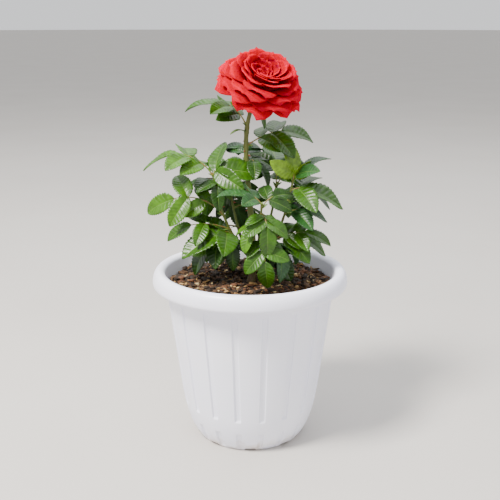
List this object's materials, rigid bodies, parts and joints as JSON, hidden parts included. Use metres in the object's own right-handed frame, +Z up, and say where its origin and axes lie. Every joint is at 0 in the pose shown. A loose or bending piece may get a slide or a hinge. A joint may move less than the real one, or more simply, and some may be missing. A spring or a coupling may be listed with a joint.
{
  "type": "potted rose bush",
  "caption": "Young rose bush in a round ribbed plastic pot, with side shoots of glossy compound leaves and a large red bloom on the main cane.",
  "frame": {"origin": "middle of the pot's flat underside", "axes": "+Z up along the pot's axis, -Y towards the side that the bloom nods to, the picture's side, and +X to the right as seen from there"},
  "size_m": [0.2578, 0.249, 0.4977],
  "materials": {
    "white_plastic": "satin white moulded plastic",
    "soil": "moist dark potting mix with bark chips",
    "cane": "smooth green rose bark, browner at its foot",
    "leaf": "glossy green leaf",
    "petal": "velvety red petal"
  },
  "bodies": {
    "root": {"pot": "white_plastic", "potting_mix": "soil", "main_cane": "cane", "left_shoot": "cane", "right_shoot": "cane", "front_shoot": "cane", "back_left_shoot": "cane", "back_right_shoot": "cane", "left_foliage": "leaf", "right_foliage": "leaf", "front_foliage": "leaf", "back_left_foliage": "leaf", "back_right_foliage": "leaf", "upper_left_leaf": "leaf", "upper_right_leaf": "leaf", "small_left_leaf": "leaf", "middle_leaf": "leaf", "back_leaf": "leaf", "flower_leaf": "leaf", "hip_and_sepals": "cane", "bloom": "petal"}
  },
  "joints": []
}
